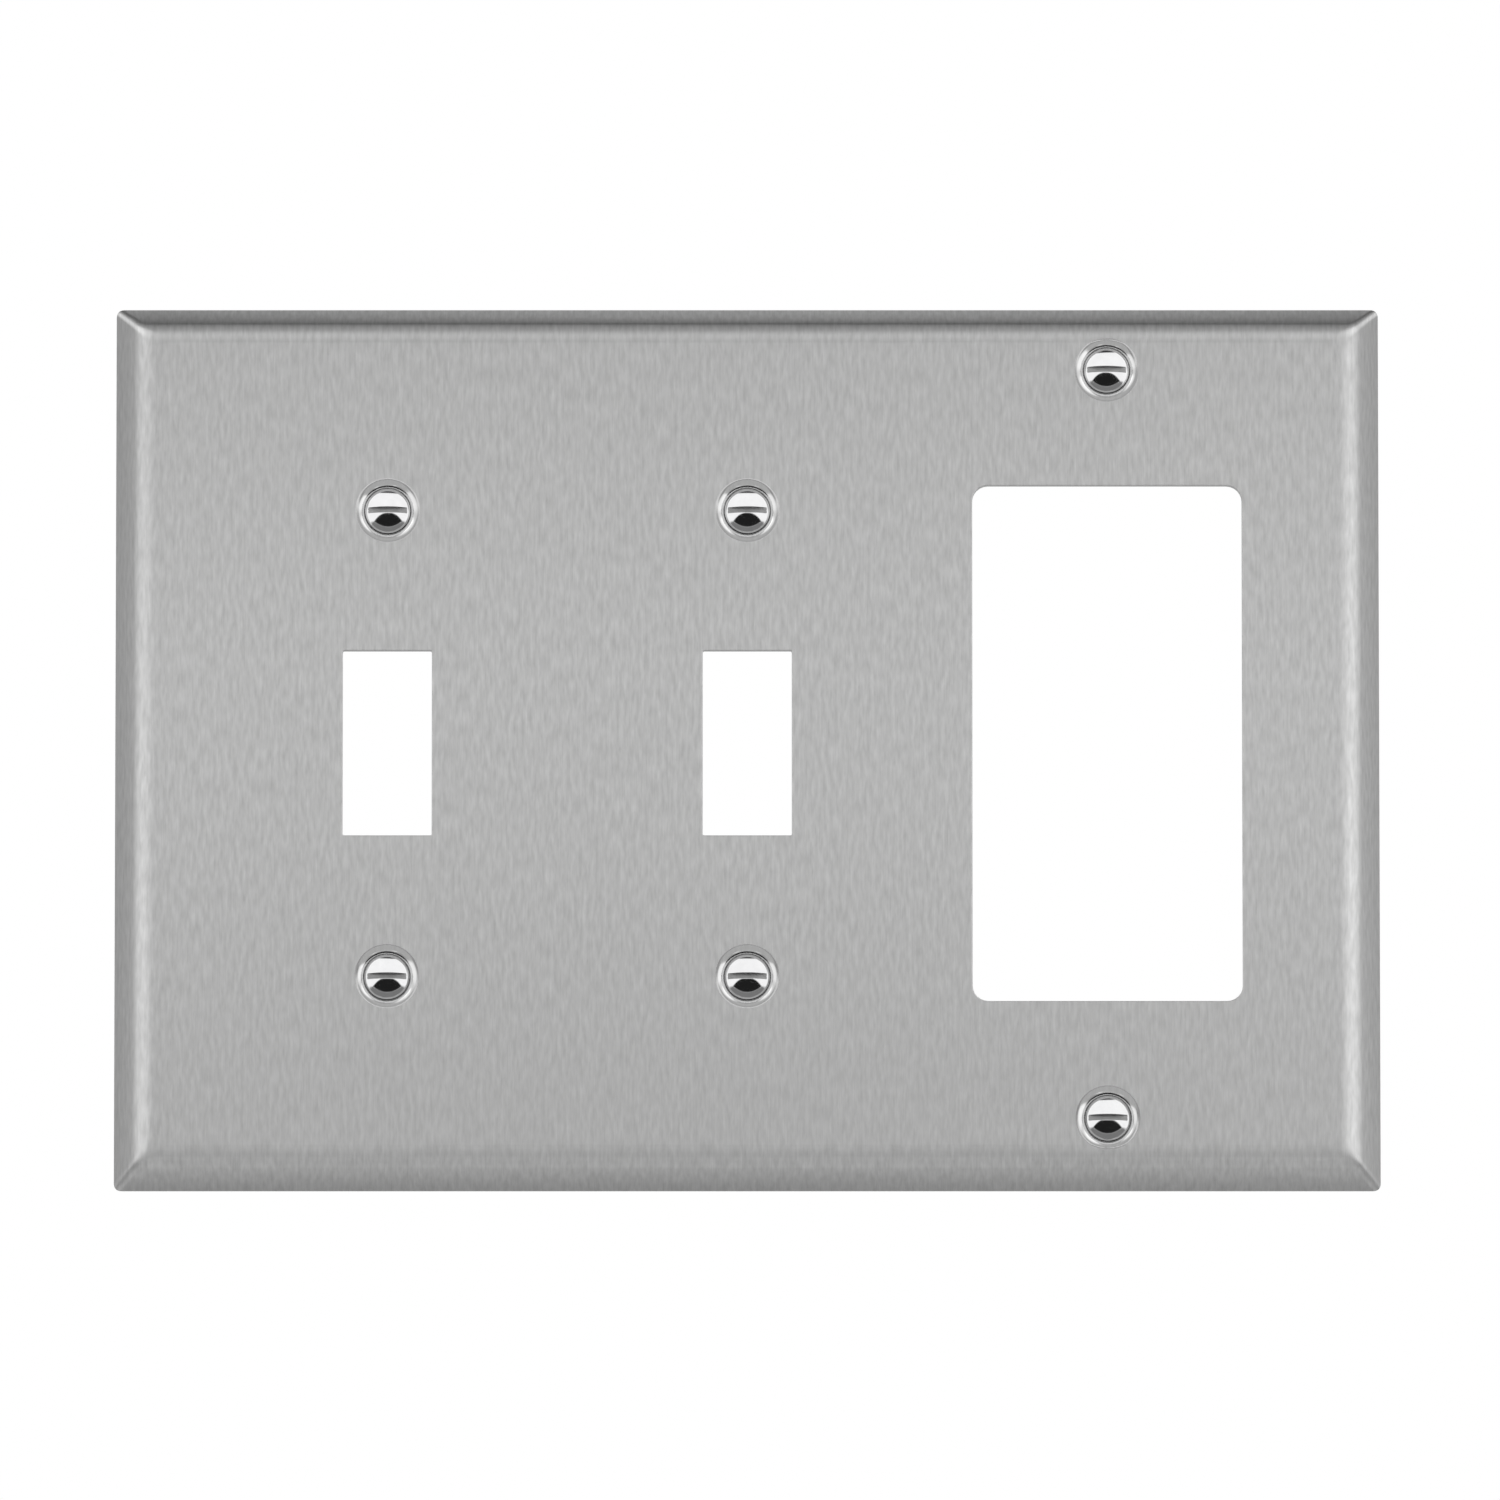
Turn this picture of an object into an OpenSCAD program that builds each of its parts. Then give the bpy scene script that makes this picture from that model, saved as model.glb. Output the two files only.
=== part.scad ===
// Three-gang combination wall plate with its six screws: two toggle switch
// openings and one rocker opening. A stamped sheet-metal cover whose edges
// slope back to the wall, with a formed dimple under every screw head.
//
// Frame, in millimetres: upright as it hangs on the wall, +X across the plate,
// +Z up, and the face towards -Y. The wall is the plane y = 0, and the origin
// is the plate's centre in that plane.

/* [Plate] */
// Width across the back edge, where the plate meets the wall
plate_w = 161.925; // [160:0.005:168]
// Height across the back edge
plate_h = 114.3; // [113:0.1:124]
// Depth from the wall to the face
plate_d = 5.6; // [5:0.1:7]
// Thickness of the sheet
sheet_t = 0.8; // [0.6:0.05:1]
// Outside radius of the bend between the face and the sloping edge
shoulder_r = 3.6; // [2.4:0.1:4]
// Angle between the face and the sloping edge, in degrees
flank_deg = 60; // [50:1:70]

/* [Openings] */
// Distance from one device's centre line to the next
gang_pitch = 46.0375; // [46:0.0125:46.1]
// Width of a toggle opening
toggle_w = 11.4; // [10:0.1:12]
// Height of a toggle opening
toggle_h = 23.9; // [23:0.1:25]
// Width of the rocker opening
rocker_w = 34.5; // [33:0.1:35]
// Height of the rocker opening
rocker_h = 66.7; // [66:0.1:68]
// Corner radius of the rocker opening
rocker_corner_r = 2; // [1:0.1:3]

/* [Screw places] */
// Distance between the two screws of a toggle switch
toggle_screw_gap = 60.325; // [60.2:0.025:60.4]
// Distance between the two screws of a rocker device
rocker_screw_gap = 96.8375; // [96.7:0.0125:96.9]
// Diameter at which a dimple leaves the flat face
dimple_d = 8.3; // [8:0.1:9]
// Radius of the rounded lip around a dimple
dimple_lip_r = 1.4; // [1.1:0.1:1.6]
// Diameter of the screw hole at the bottom of a dimple
hole_d = 4.2; // [3.9:0.1:4.4]
// Length of the straight wall in the screw hole
hole_land = 0.5; // [0.3:0.1:0.6]

/* [Screws] */
// Diameter of the oval head
head_d = 5.8; // [5.6:0.1:6.2]
// Height of the head's dome above its widest plane
dome_h = 1.2; // [1:0.05:1.4]
// Full angle of the cone under the head, in degrees
sink_deg = 82; // [80:1:90]
// Width of the screwdriver slot
slot_w = 0.7; // [0.6:0.05:1.1]
// Depth of the slot below the top of the dome
slot_depth = 0.85; // [0.6:0.05:1]
// Thread's outside diameter (6-32 UNC)
thread_d = 3.505; // [3.4:0.005:3.505]
// Diameter of the plain neck under the head
neck_d = 3; // [2.8:0.1:3.2]
// Length of the plain neck
neck_l = 1.2; // [0.9:0.1:1.6]
// Length from the head's widest plane to the tip
screw_l = 12.7; // [7.9:0.1:19]
// Gap between the cone of the head and its seat
seat_gap = 0.05; // [0.03:0.01:0.1]

/* [Hidden] */
$fn = 96;

// Centre lines of the three devices
toggle_1_x = -gang_pitch;
toggle_2_x = 0;
rocker_x = gang_pitch;

// Every screw's place on the face, as [x, z]
screw_places = [
    for (s = [1, -1]) [toggle_1_x, s * toggle_screw_gap / 2],
    for (s = [1, -1]) [toggle_2_x, s * toggle_screw_gap / 2],
    for (s = [1, -1]) [rocker_x, s * rocker_screw_gap / 2]
];

// Dimple: the cone continues to cone_r in the plane of the face, and the lip
// rounds it off. Depths are measured from the face towards the wall.
half_sink = sink_deg / 2;
lip_run = dimple_lip_r * tan((90 - half_sink) / 2);
cone_r = dimple_d / 2 - lip_run;
hole_r = hole_d / 2;
hole_top = (cone_r - hole_r) / tan(half_sink);
hole_end = hole_top + hole_land;
dimple_out = dimple_d / 2 + 0.2;

// Screw: depth of the head's widest plane, and the dome's radius
head_r = head_d / 2;
rim_depth = (cone_r - seat_gap / cos(half_sink) - head_r) / tan(half_sink);
dome_r = (head_r * head_r + dome_h * dome_h) / (2 * dome_h);
rim_land = 0.1;
cone_h = (head_r - neck_d / 2) / tan(half_sink);
tip_chamfer = 0.4;

// Half of the plate's outline at depth y, taken inwards by off
function flank_u(half, off, y) = half - off / sin(flank_deg) + y / tan(flank_deg);

// Cross-section of the plate as a filled shape, off inside its outer surface
module edge_profile(half, off, back) {
    r = shoulder_r - off;
    cu = half - (shoulder_r + (plate_d - shoulder_r) * cos(flank_deg)) / sin(flank_deg);
    cy = shoulder_r - plate_d;
    tu = cu + r * sin(flank_deg);
    ty = cy - r * cos(flank_deg);
    bu = flank_u(half, off, back);
    intersection() {
        union() {
            polygon([[-bu, back], [-tu, ty], [-cu, off - plate_d],
                [cu, off - plate_d], [tu, ty], [bu, back]]);
            for (s = [-1, 1]) translate([s * cu, cy]) circle(r = r);
        }
        translate([-half - 1, -plate_d - 1]) square([2 * half + 2, plate_d + 1 + back]);
    }
}

// The plate's outer shape, or the hollow behind it, mitred at the corners
module stamped_form(off, back) {
    intersection() {
        linear_extrude(height = plate_h + 10, center = true)
            edge_profile(plate_w / 2, off, back);
        rotate([0, -90, 0]) linear_extrude(height = plate_w + 10, center = true)
            edge_profile(plate_h / 2, off, back);
    }
}

// A hole with rounded corners straight through the face
module face_opening(x, w, h, r) {
    translate([x, 2, 0]) rotate([90, 0, 0]) linear_extrude(height = plate_d + 4)
        if (r > 0) {
            square([w - 2 * r, h], center = true);
            square([w, h - 2 * r], center = true);
            for (i = [-1, 1], j = [-1, 1])
                translate([i * (w / 2 - r), j * (h / 2 - r)]) circle(r = r);
        } else square([w, h], center = true);
}

// Half of the cross-section of everything behind the dimple's surface, off
// below it, down to the cone's end at end_r and end_depth
module dimple_side(off, end_r, end_depth) {
    r = dimple_lip_r - off;
    lip = [dimple_d / 2 - dimple_lip_r * cos(half_sink) + (dimple_lip_r - r) * cos(half_sink),
        dimple_lip_r - r * sin(half_sink)];
    union() {
        polygon([[dimple_out + off, off], [dimple_d / 2, off], lip,
            [end_r, end_depth], [end_r, 6], [dimple_out + off, 6]]);
        translate([dimple_d / 2, dimple_lip_r]) circle(r = r);
    }
}

// One formed dimple, its axis along +Z and the face at z = 0
module dimple() {
    back_r = cone_r + sheet_t / cos(half_sink) - hole_end * tan(half_sink);
    rotate_extrude()
        difference() {
            dimple_side(0, hole_r, hole_top);
            dimple_side(sheet_t, back_r, hole_end);
            translate([0, hole_end]) square([dimple_out + 2, 8]);
            translate([dimple_out, -1]) square([2, 8]);
        }
}

module cover_plate() {
    color("silver")
        union() {
            difference() {
                stamped_form(0, 0);
                stamped_form(sheet_t, 1);
                for (p = screw_places)
                    translate([p[0], -plate_d / 2, p[1]]) rotate([90, 0, 0])
                        cylinder(r = dimple_d / 2, h = plate_d + 2, center = true);
                face_opening(toggle_1_x, toggle_w, toggle_h, 0);
                face_opening(toggle_2_x, toggle_w, toggle_h, 0);
                face_opening(rocker_x, rocker_w, rocker_h, rocker_corner_r);
            }
            intersection() {
                for (p = screw_places)
                    translate([p[0], -plate_d, p[1]]) rotate([-90, 0, 0]) dimple();
                stamped_form(0, 0);
            }
        }
}

// Half of a screw's cross-section: domed head, rim, cone, neck, thread and tip
module screw_section() {
    dome_base = rim_depth - rim_land;
    neck_top = rim_depth + cone_h;
    tip = rim_depth + screw_l;
    union() {
        intersection() {
            translate([0, dome_base - dome_h + dome_r]) circle(r = dome_r);
            translate([0, dome_base - dome_h - 1]) square([head_r, dome_h + 1 + rim_land / 2]);
        }
        polygon([[0, dome_base], [head_r, dome_base], [head_r, rim_depth],
            [neck_d / 2, neck_top], [neck_d / 2, neck_top + neck_l],
            [thread_d / 2, neck_top + neck_l], [thread_d / 2, tip - tip_chamfer],
            [thread_d / 2 - tip_chamfer, tip], [0, tip]]);
    }
}

// An oval-head machine screw with a level slot, seated in its dimple
module screw(place) {
    color("gainsboro")
        translate([place[0], -plate_d, place[1]]) rotate([-90, 0, 0])
            difference() {
                rotate_extrude() screw_section();
                translate([-head_r - 1, -slot_w / 2, rim_depth - rim_land - dome_h - 1])
                    cube([2 * head_r + 2, slot_w, slot_depth + 1]);
            }
}

module screw_toggle_1_top() { screw(screw_places[0]); }
module screw_toggle_1_bottom() { screw(screw_places[1]); }
module screw_toggle_2_top() { screw(screw_places[2]); }
module screw_toggle_2_bottom() { screw(screw_places[3]); }
module screw_rocker_top() { screw(screw_places[4]); }
module screw_rocker_bottom() { screw(screw_places[5]); }

cover_plate();
screw_toggle_1_top();
screw_toggle_1_bottom();
screw_toggle_2_top();
screw_toggle_2_bottom();
screw_rocker_top();
screw_rocker_bottom();
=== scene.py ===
"""Three-gang brushed steel wall plate cover with its six oval-head screws.

Lengths in the shape code are millimetres and become metres in Shape.build().
The plate is upright, the wall is the plane y = 0 and the face looks to -Y.
A depth is counted from the front of the flat face towards the wall.
"""

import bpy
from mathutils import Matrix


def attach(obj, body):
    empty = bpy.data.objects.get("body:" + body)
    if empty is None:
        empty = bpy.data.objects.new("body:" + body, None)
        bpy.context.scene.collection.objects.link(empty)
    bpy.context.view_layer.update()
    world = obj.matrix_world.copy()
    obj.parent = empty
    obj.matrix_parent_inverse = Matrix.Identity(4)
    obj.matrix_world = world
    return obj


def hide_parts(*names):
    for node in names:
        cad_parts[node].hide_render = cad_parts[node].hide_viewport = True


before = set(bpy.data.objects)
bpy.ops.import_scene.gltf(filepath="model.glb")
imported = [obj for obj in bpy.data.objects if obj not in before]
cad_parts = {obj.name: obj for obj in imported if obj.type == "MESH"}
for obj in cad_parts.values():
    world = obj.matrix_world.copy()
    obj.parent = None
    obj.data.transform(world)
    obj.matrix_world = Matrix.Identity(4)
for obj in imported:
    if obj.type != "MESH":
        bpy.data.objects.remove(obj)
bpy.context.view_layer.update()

from collections import namedtuple
import math

import bpy
from mathutils import Vector
from mathutils.geometry import delaunay_2d_cdt

MM = 0.001
CDT_GAP = 1e-5                    # points closer than this are one in a triangulation

# ----------------------------------------------------------- sizes of the plate
PLATE_W, PLATE_H, PLATE_D = 161.925, 114.3, 5.6
SHEET = 0.8
FLANK = math.radians(60)          # slope of the flanks
BEND_R = 3.6                      # outside radius of the shoulders
BACK_BEND_R = BEND_R - SHEET
BEND_END = math.radians(55)       # slope where a shoulder's bend goes over into the flank
SIN, COS = math.sin(FLANK), math.cos(FLANK)
FLAT = (BEND_R + (PLATE_D - BEND_R) * COS) / SIN   # edge of the flat face, from the outline
FLAT_X, FLAT_Z = PLATE_W / 2 - FLAT, PLATE_H / 2 - FLAT

# Width of the rounding over a corner's fold line, by the distance past the flat face
FOLD = [(0.0, 1.5), (3.1, 1.2), (5.31, 1.05)]
FOLD_ROUNDS = 5                   # rounds in which over() finds the width that goes with it

# The edge against the wall: how far in the outside flank, its corner and the wall's edge end
FLANK_STOP, FOOT_SIDE, FOOT_FLAT = 0.05, 0.035, 0.06

GANG = 46.0375
TOGGLE = (11.4, 23.9, 0.22)       # width, height and corner radius
ROCKER = (34.5, 66.7, 2.0)
OPENINGS = [(-GANG, TOGGLE), (0.0, TOGGLE), (GANG, ROCKER)]
ROLL, BURR = 0.14, 0.045          # an opening's rounded front edge and its small back corner
SHEARED = 0.42                    # part of the sheet that is cut clean before it tears

TOGGLE_SCREW, ROCKER_SCREW = 30.1625, 48.41875
PLACES = {
    "toggle_1_top": (-GANG, TOGGLE_SCREW),
    "toggle_1_bottom": (-GANG, -TOGGLE_SCREW),
    "toggle_2_top": (0.0, TOGGLE_SCREW),
    "toggle_2_bottom": (0.0, -TOGGLE_SCREW),
    "rocker_top": (GANG, ROCKER_SCREW),
    "rocker_bottom": (GANG, -ROCKER_SCREW),
}

# A dimple: a rounded lip, a cone for the screw's head, a hole and a coined funnel behind
LIP_OUT, LIP_R = 4.15, 1.4
BACK_LIP_R = LIP_R - SHEET
SINK = math.radians(41)           # half of the cone's angle
HOLE_R = 2.1
CONE_R = LIP_OUT - LIP_R * math.tan((math.pi / 2 - SINK) / 2)
HOLE_TOP = (CONE_R - HOLE_R) / math.tan(SINK)
HOLE_END = HOLE_TOP + 0.5
HOLE_CHAMFER = 0.04
BACK_R = CONE_R + SHEET / math.cos(SINK) - HOLE_END * math.tan(SINK)

# The rounding from the cone into the hole: its first radius, its middle one, and its end's depth
CONE_END_R, HOLE_MID_R, WALL_TOP = HOLE_R + 0.1, HOLE_R + 0.028, HOLE_TOP + 0.09
# The coined end behind: where its flat stops, and where the cone behind starts
BRIM_R, SHOULDER_R = BACK_R - 0.07, BACK_R + 0.05

# How the plate's mesh is laid out
SKIN_END = 0.95                   # past the flat face, where the rows of the bends start
SKIN_RINGS = (0.0, 0.24, 0.48, 0.72, -0.5)
SKIN_CIRCLES = (3.4, 3.55, 3.7, 3.85, 4.0, LIP_OUT, 4.3, 4.7)
SKIN_FRAMES = (0.45, 1.2)         # lines round an opening, at these distances
SKIN_STEP, SKIN_ROW = 3.2, 0.87   # spacing of the loose points, and of their rows in steps
SKIN_COLUMNS, SKIN_ROWS = 26, 20  # of loose points, to each side of the middle
# How far the loose points keep from the face's edge, the openings and the dimples' middles
OFF_EDGE, OFF_OPENING, OFF_DIMPLE = 1.6, 2.4, 6.0
DIMPLE_FRONT_R, DIMPLE_BACK_R = 3.25, 3.76   # where a dimple's own rows take over
DIMPLE_ROUND = 72                 # points round a dimple

# ---------------------------------------------------------- sizes of the screws
HEAD_R, DOME_H = 2.9, 1.2
HEAD_GAP = 0.05                   # between the head's cone and the dimple's
RIM = (CONE_R - HEAD_GAP / math.cos(SINK) - HEAD_R) / math.tan(SINK)
DOME_BASE = RIM - 0.1
DOME_R = (HEAD_R ** 2 + DOME_H ** 2) / (2 * DOME_H)
APEX = DOME_BASE - DOME_H
TOP_R = 2.82                      # where the mesh of the head's top ends
SLOT_HALF, SLOT_ROUND = 0.35, 0.07
SLOT_FLOOR = APEX + 0.85
SLOT_WALL = 90                    # steepness of the slot's walls
THREAD_P, CREST, ROOT, NECK = 0.79375, 1.7525, 1.285, 1.5
CREST_PART, ROOT_PART = 0.125, 0.2   # parts of a turn on the crest and on the root
THREAD_TOP = RIM + (HEAD_R - NECK) / math.tan(SINK) + 1.2
THREAD_LEAD, THREAD_FADE = 0.25, 0.75   # the thread starts so much early, and deepens over this
TIP = RIM + 12.7
TIP_CHAMFER = 0.4
TIP_INNER_R = 0.7
HEAD_ROUND, STEPS = 96, 24        # points round the head and round the thread

TO_WALL = Vector((0, 1, 0))


# ------------------------------------------------------------- mesh from points
class Shape:
    """Faces with their own corner normals and map, collected and made into one mesh."""

    def __init__(self):
        self.points, self.faces, self.normals, self.maps, self.slots = [], [], [], [], []

    def point(self, x, y, z):
        self.points.append((x, y, z))
        return len(self.points) - 1

    def face(self, ids, normals, slot=0, unfold=None):
        """One face. Its corners are turned round where they don't go with the normals."""
        first = self.points[ids[0]]
        ox, oy, oz = first
        p = [Vector((x - ox, y - oy, z - oz)) for x, y, z in (self.points[i] for i in ids)]
        area = Vector((0, 0, 0))
        for a, b in zip(p[1:], p[2:]):
            area += a.cross(b)
        ids, normals = list(ids), list(normals)
        if area.dot(sum((Vector(n) for n in normals), Vector((0, 0, 0)))) < 0:
            ids.reverse()
            normals.reverse()
        middle = sum(p, Vector((0, 0, 0))) / len(p) + Vector(first)
        self.faces.append(ids)
        self.normals += [tuple(Vector(n).normalized()) for n in normals]
        for i in ids:
            x, y, z = self.points[i]
            u, v = unfold(x, y, z, middle) if unfold else (x, z)
            self.maps.append((u * MM, v * MM))
        self.slots.append(slot)

    def strip(self, a, b, na, nb, slot=0, unfold=None):
        """Faces between two closed rows of points of the same length."""
        n = len(a)
        for i in range(n):
            j = (i + 1) % n
            self.face([a[i], a[j], b[j], b[i]], [na[i], na[j], nb[j], nb[i]], slot, unfold)

    def build(self, name, materials):
        mesh = bpy.data.meshes.new(name)
        mesh.from_pydata([tuple(c * MM for c in p) for p in self.points], [], self.faces)
        layer = mesh.uv_layers.new(name="Unfolded")
        layer.data.foreach_set("uv", [c for uv in self.maps for c in uv])
        for m in materials:
            mesh.materials.append(m)
        mesh.polygons.foreach_set("material_index", self.slots)
        mesh.polygons.foreach_set("use_smooth", [True] * len(self.faces))
        mesh.normals_split_custom_set(self.normals)
        mesh.update()
        ob = bpy.data.objects.new(name, mesh)
        bpy.context.scene.collection.objects.link(ob)
        return ob


def slope_normal(depth, x, z, toward, out):
    """Normal of the surface at depth(x, z), read a little inside the face it belongs to.

    toward is the middle of that face. out is -1 where the surface looks out of the plate
    and 1 where it looks to the wall.
    """
    inset, h = 0.02, 2e-4
    x += (toward[0] - x) * inset
    z += (toward[1] - z) * inset
    gx = (depth(x + h, z) - depth(x - h, z)) / (2 * h)
    gz = (depth(x, z + h) - depth(x, z - h)) / (2 * h)
    return (gx, -1.0, gz) if out < 0 else (-gx, 1.0, -gz)


def along(table, x):
    """Value at x of a table of (x, value) rows, straight between them."""
    if x <= table[0][0]:
        return table[0][1]
    for (x0, y0), (x1, y1) in zip(table, table[1:]):
        if x <= x1:
            return y0 + (y1 - y0) * (x - x0) / (x1 - x0)
    return table[-1][1]


def step(x, start, end):
    """0 at start, 1 at end, straight between them and level beyond."""
    return min(1.0, max(0.0, (x - start) / (end - start)))


def spokes(n):
    """Directions round a screw's axis, clockwise from the top."""
    turns = [2 * math.pi * i / n for i in range(n)]
    return [Vector((math.sin(a), 0, math.cos(a))) for a in turns]


# ----------------------------------------------------------------- plate's form
def over(x, z):
    """How far a point is past the flat face, rounded where two sides meet."""
    a, b = abs(x) - FLAT_X, abs(z) - FLAT_Z
    m = furthest = max(a, b)
    if abs(a - b) < FOLD[0][1]:
        for _ in range(FOLD_ROUNDS):
            width = along(FOLD, m)
            m = furthest + max(0.0, 1 - abs(a - b) / width) ** 2 * width / 4
    return m


def bend(m, r, top):
    """Depth of the bend and of the slightly bowed flank, at m past the flat face."""
    if m <= 0:
        return top
    start = r * math.sin(BEND_END)
    if m <= start:
        return top + r - math.sqrt(r * r - m * m)
    begin = top + r * (1 - math.cos(BEND_END))
    length, fall = FLAT - top / SIN - start, PLATE_D - begin
    slope = math.tan(BEND_END)
    return begin + (m - start) * (slope + (m - start) * (fall / length - slope) / length)


def lip(r, radius):
    """Depth of a dimple's rounded lip at r from its axis, or None further in."""
    if r >= LIP_OUT:
        return 0.0
    if r >= LIP_OUT - radius * math.cos(SINK):
        return radius - math.sqrt(max(0.0, radius ** 2 - (LIP_OUT - r) ** 2))
    return None


def dimple_front(r):
    """Depth of a dimple's front surface at r from its axis."""
    depth = lip(r, LIP_R)
    return (CONE_R - r) / math.tan(SINK) if depth is None else depth


def dimple_back(r):
    """Depth of a dimple's back surface at r from its axis, beyond the sheet's own."""
    depth = lip(r, BACK_LIP_R)
    return (BACK_R - r) / math.tan(SINK) + HOLE_END - SHEET if depth is None else depth


def nearest_place(x, z):
    return min(PLACES.values(), key=lambda p: (p[0] - x) ** 2 + (p[1] - z) ** 2)


def front(x, z):
    cx, cz = nearest_place(x, z)
    return bend(over(x, z), BEND_R, 0.0) + dimple_front(math.hypot(x - cx, z - cz))


def back(x, z):
    cx, cz = nearest_place(x, z)
    return bend(over(x, z), BACK_BEND_R, SHEET) + dimple_back(math.hypot(x - cx, z - cz))


def arc_length(m, r):
    """Length along the sheet of m past the flat face."""
    if m <= 0:
        return m
    start = r * math.sin(BEND_END)
    if m <= start:
        return r * math.asin(m / r)
    return r * BEND_END + (m - start) / COS


def unfolded(r):
    """Map in which the grain keeps its width on the bends, as if brushed before bending."""
    def spread(x, y, z, middle):
        a, b = abs(middle.x) - FLAT_X, abs(middle.z) - FLAT_Z
        if a > b and a > 0:
            return math.copysign(FLAT_X + arc_length(abs(x) - FLAT_X, r), x), z
        if b > 0:
            return x, math.copysign(FLAT_Z + arc_length(abs(z) - FLAT_Z, r), z)
        return x, z
    return spread


def edge_map(x, y, z, middle):
    """Map of the cut edges: round the edge one way, through the sheet the other."""
    return x + z, y


BRUSHED, MILL, CUT, FORMED = range(4)   # the plate's materials
Side = namedtuple("Side", "depth out radius unfold slot")
FRONT = Side(front, -1, BEND_R, unfolded(BEND_R), BRUSHED)
BACK = Side(back, 1, BACK_BEND_R, unfolded(BACK_BEND_R), MILL)


# --------------------------------------------------------------- plate's lines
def outline(m, columns=54, rows=38, turn=14):
    """Points of the level line m past the flat face, clockwise from the top left."""
    corner = []
    width = along(FOLD, m)
    for i in range(turn + 1):
        t = -width + 2 * width * i / turn
        drop = (1 - abs(t) / width) ** 2 * width / 4
        a = m - drop if t >= 0 else m - drop + t
        b = m - drop - t if t >= 0 else m - drop
        corner.append((FLAT_X + a, FLAT_Z + b))   # from the top edge round to the side

    def straight(p, q, n):
        return [(p[0] + (q[0] - p[0]) * i / n, p[1] + (q[1] - p[1]) * i / n) for i in range(1, n)]

    top_right = corner
    top_left = [(-x, z) for x, z in reversed(corner)]
    bottom_right = [(x, -z) for x, z in reversed(corner)]
    bottom_left = [(-x, -z) for x, z in corner]
    loop = []
    for part, following, n in ((top_left, top_right, columns), (top_right, bottom_right, rows),
                               (bottom_right, bottom_left, columns), (bottom_left, top_left, rows)):
        loop += part + straight(part[-1], following[0], n)
    return loop


def opening_loop(cx, size, out):
    """Points of an opening's edge, moved out by out, each with its outward direction."""
    spacing, turn = 1.5, 6
    w, h, r = size
    half_w, half_h = w / 2 - r, h / 2 - r
    loop = []

    def add(x, z, d):
        loop.append(((x + d[0] * (r + out), z + d[1] * (r + out)), d))

    corners = ((1, 1), (-1, 1), (-1, -1), (1, -1))
    runs = ((-1, 0), (0, -1), (1, 0), (0, 1))
    for k, ((sx, sz), (ex, ez)) in enumerate(zip(corners, runs)):
        for i in range(turn + 1):
            a = math.radians(k * 90 + 90 * i / turn)
            add(cx + sx * half_w, sz * half_h, (math.cos(a), math.sin(a)))
        length = 2 * (half_w if k in (0, 2) else half_h)
        parts = max(2, round(length / spacing))
        a = math.radians(k * 90 + 90)
        d = (round(math.cos(a)), round(math.sin(a)))
        for i in range(1, parts):
            s = length * i / parts
            add(cx + sx * half_w + ex * s, sz * half_h + ez * s, d)
    return loop


def circle(cx, cz, r):
    turns = [2 * math.pi * i / DIMPLE_ROUND for i in range(DIMPLE_ROUND)]
    return [(cx + r * math.sin(a), cz + r * math.cos(a)) for a in turns]


def in_opening(x, z, out):
    """Whether a point is inside an opening that is out larger on every side."""
    for cx, (w, h, corner_r) in OPENINGS:
        r = corner_r + out
        dx = max(0.0, abs(x - cx) - (w / 2 + out - r))
        dz = max(0.0, abs(z) - (h / 2 + out - r))
        if math.hypot(dx, dz) < r - 1e-4:
            return True
    return False


# ---------------------------------------------------------------- plate's parts
def ring(shape, loop, depth):
    return [shape.point(x, depth(x, z) - PLATE_D, z) for x, z in loop]


def surface_strips(shape, loops, rows, side, slot):
    """Faces between rows of points on one side of the sheet, with that side's normals."""
    for la, a, lb, b in zip(loops, rows, loops[1:], rows[1:]):
        n = len(a)
        for i in range(n):
            j = (i + 1) % n
            quad = [(la[i], a[i]), (la[j], a[j]), (lb[j], b[j]), (lb[i], b[i])]
            middle = (sum(q[0][0] for q in quad) / 4, sum(q[0][1] for q in quad) / 4)
            shape.face([q[1] for q in quad],
                       [slope_normal(side.depth, *q[0], middle, side.out) for q in quad],
                       slot, side.unfold)


def plate_bends(shape):
    """Bends and flanks of both sides. Gives the first and the last row of each."""
    ends = []
    for side, stop in ((FRONT, FLAT - FLANK_STOP), (BACK, FLAT - SHEET / SIN)):
        start = math.asin(SKIN_END / side.radius)
        bent, straight = 10, 6
        stations = [side.radius * math.sin(start + (BEND_END - start) * i / bent)
                    for i in range(bent + 1)]
        last = stations[-1]
        stations += [last + (stop - last) * i / straight for i in range(1, straight + 1)]
        loops = [outline(m) for m in stations]
        rows = [ring(shape, loop, side.depth) for loop in loops]
        surface_strips(shape, loops, rows, side, side.slot)
        ends.append(((loops[0], rows[0]), (loops[-1], rows[-1])))
    return ends


def plate_foot(shape, outer, inner):
    """The cut edge against the wall: a narrow rounded corner outside, then the flat edge."""
    low = outline(FLAT - FOOT_SIDE)
    rim = [shape.point(x, -FOOT_SIDE, z) for x, z in low]
    foot = [shape.point(x, 0.0, z) for x, z in outline(FLAT - FOOT_FLAT)]
    outward = []
    for a, b in zip(low[-1:] + low[:-1], low[1:] + low[:1]):
        t = Vector((b[0] - a[0], b[1] - a[1])).normalized()
        outward.append(Vector((-t.y, 0, t.x)))
    flank_n = [o * SIN + Vector((0, -COS, 0)) for o in outward]
    side_n = [o * 0.9 + Vector((0, 0.43, 0)) for o in outward]
    wall_n = [TO_WALL] * len(outer)
    shape.strip(outer, rim, flank_n, side_n, BRUSHED, FRONT.unfold)
    shape.strip(rim, foot, side_n, wall_n, CUT, edge_map)
    shape.strip(foot, inner, wall_n, wall_n, CUT, edge_map)


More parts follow.
